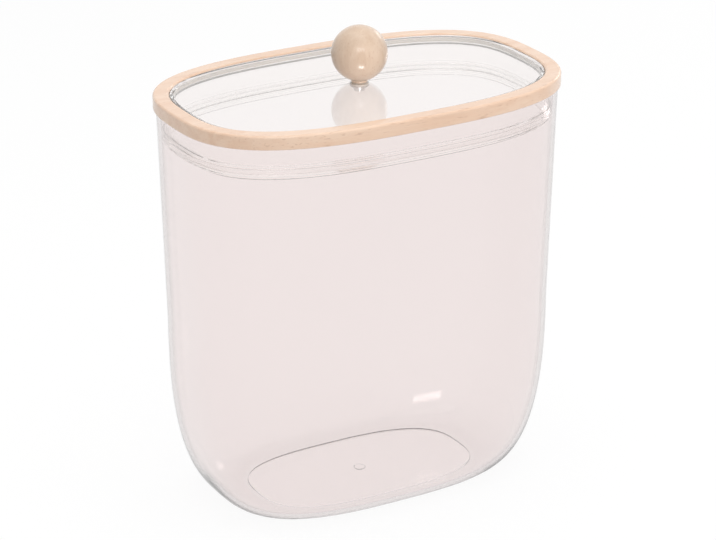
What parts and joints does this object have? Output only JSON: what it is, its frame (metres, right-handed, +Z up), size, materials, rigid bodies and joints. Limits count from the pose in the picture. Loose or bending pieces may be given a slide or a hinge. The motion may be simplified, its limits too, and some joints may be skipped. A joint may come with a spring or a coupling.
{
  "type": "oval storage canister with ball-knob lid",
  "caption": "Tall oval clear canister for rice and dry goods, rounded in to a small foot, with a lift-off lid: clear plate, tan timber band, plug with seal and turned ball knob.",
  "frame": {"origin": "middle of the foot, on the surface that the canister stands on", "axes": "+X along the long side of the oval, +Y from front to back, +Z up through the knob"},
  "size_m": [0.24, 0.1484, 0.2829],
  "materials": {
    "canister_plastic": "clear, polished",
    "lid_plastic": "clear, polished",
    "band_timber": "fine grain, satin lacquer",
    "seal_silicone": "translucent silicone, satin",
    "knob_timber": "turned, fine grain, satin lacquer",
    "insert_brass": "knurled, plain",
    "screw_steel": "bright zinc",
    "washer_steel": "bright zinc",
    "washer_silicone": "satin"
  },
  "bodies": {
    "canister": {"canister": "canister_plastic"},
    "lid": {"lid_panel": "lid_plastic", "lid_band": "band_timber", "lid_seal": "seal_silicone", "knob": "knob_timber", "knob_insert": "insert_brass", "knob_screw": "screw_steel", "screw_washer": "washer_steel", "soft_washer": "washer_silicone"}
  },
  "joints": [
    {"name": "lid_lift", "type": "slide", "parent": "canister", "child": "lid", "axis": [0, 0, 1], "range_m": [0, 0.2]}
  ]
}
